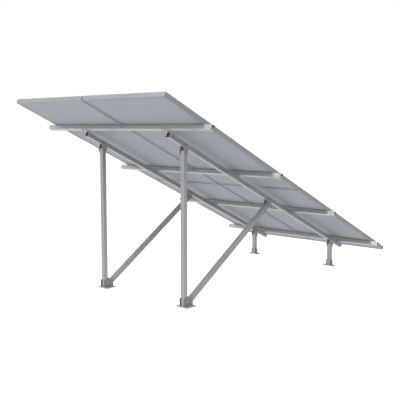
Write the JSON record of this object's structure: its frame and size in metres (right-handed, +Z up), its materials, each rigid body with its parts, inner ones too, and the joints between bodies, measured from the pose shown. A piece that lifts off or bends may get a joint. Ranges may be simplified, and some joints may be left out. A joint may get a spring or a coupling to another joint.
{
  "type": "solar panel mounting rack",
  "caption": "Ground rack of galvanised square tubes and channel purlins that holds solar modules edge to edge at a slope, on posts with diagonal braces and bolted base shoes.",
  "frame": {"origin": "on the ground under the middle of the rack's overall box", "axes": "+Z up, -Y towards the low front side that the glass faces, +X to the right as seen from the front, along the purlins"},
  "size_m": [2.21, 3.6834, 1.9049],
  "materials": {
    "module_frame_metal": "satin anodised",
    "module_glass": "glossy, with dark cells behind it",
    "back_sheet": "matt",
    "galvanised_tube": "hot-dip galvanised, matt, light spangle",
    "galvanised_shoes": "hot-dip galvanised, matt",
    "purlin_metal": "pre-galvanised sheet, satin",
    "clamp_metal": "satin",
    "zinc_fasteners": "zinc plated, dulled"
  },
  "bodies": {
    "root": {"brace_head_plate_left_left_side": "galvanised_tube", "brace_head_plate_left_right_side": "galvanised_tube", "brace_head_plate_right_left_side": "galvanised_tube", "brace_head_plate_right_right_side": "galvanised_tube", "brace_left": "galvanised_tube", "brace_right": "galvanised_tube", "cleat_bolts": "zinc_fasteners", "cleat_nuts": "zinc_fasteners", "frame_bolts": "zinc_fasteners", "frame_nuts": "zinc_fasteners", "front_base_shoe_left": "galvanised_shoes", "front_base_shoe_right": "galvanised_shoes", "front_head_plate_left_left_side": "galvanised_tube", "front_head_plate_left_right_side": "galvanised_tube", "front_head_plate_right_left_side": "galvanised_tube", "front_head_plate_right_right_side": "galvanised_tube", "front_post_left": "galvanised_tube", "front_post_right": "galvanised_tube", "module_back_sheet_lower_left": "back_sheet", "module_back_sheet_lower_right": "back_sheet", "module_back_sheet_upper_left": "back_sheet", "module_back_sheet_upper_right": "back_sheet", "module_bolts": "zinc_fasteners", "module_frame_lower_left": "module_frame_metal", "module_frame_lower_right": "module_frame_metal", "module_frame_upper_left": "module_frame_metal", "module_frame_upper_right": "module_frame_metal", "module_glass_lower_left": "module_glass", "module_glass_lower_right": "module_glass", "module_glass_upper_left": "module_glass", "module_glass_upper_right": "module_glass", "module_nuts": "zinc_fasteners", "purlin_1": "purlin_metal", "purlin_1_cleats": "galvanised_tube", "purlin_2": "purlin_metal", "purlin_2_cleats": "galvanised_tube", "purlin_3": "purlin_metal", "purlin_3_cleats": "galvanised_tube", "purlin_4": "purlin_metal", "purlin_4_cleats": "galvanised_tube", "rafter_left": "galvanised_tube", "rafter_right": "galvanised_tube", "rear_base_shoe_left": "galvanised_shoes", "rear_base_shoe_right": "galvanised_shoes", "rear_head_plate_left_left_side": "galvanised_tube", "rear_head_plate_left_right_side": "galvanised_tube", "rear_head_plate_right_left_side": "galvanised_tube", "rear_head_plate_right_right_side": "galvanised_tube", "rear_post_left": "galvanised_tube", "rear_post_right": "galvanised_tube", "seam_bolts": "zinc_fasteners", "seam_clamps": "clamp_metal", "seam_clips": "clamp_metal", "seam_nuts": "zinc_fasteners"}
  },
  "joints": []
}
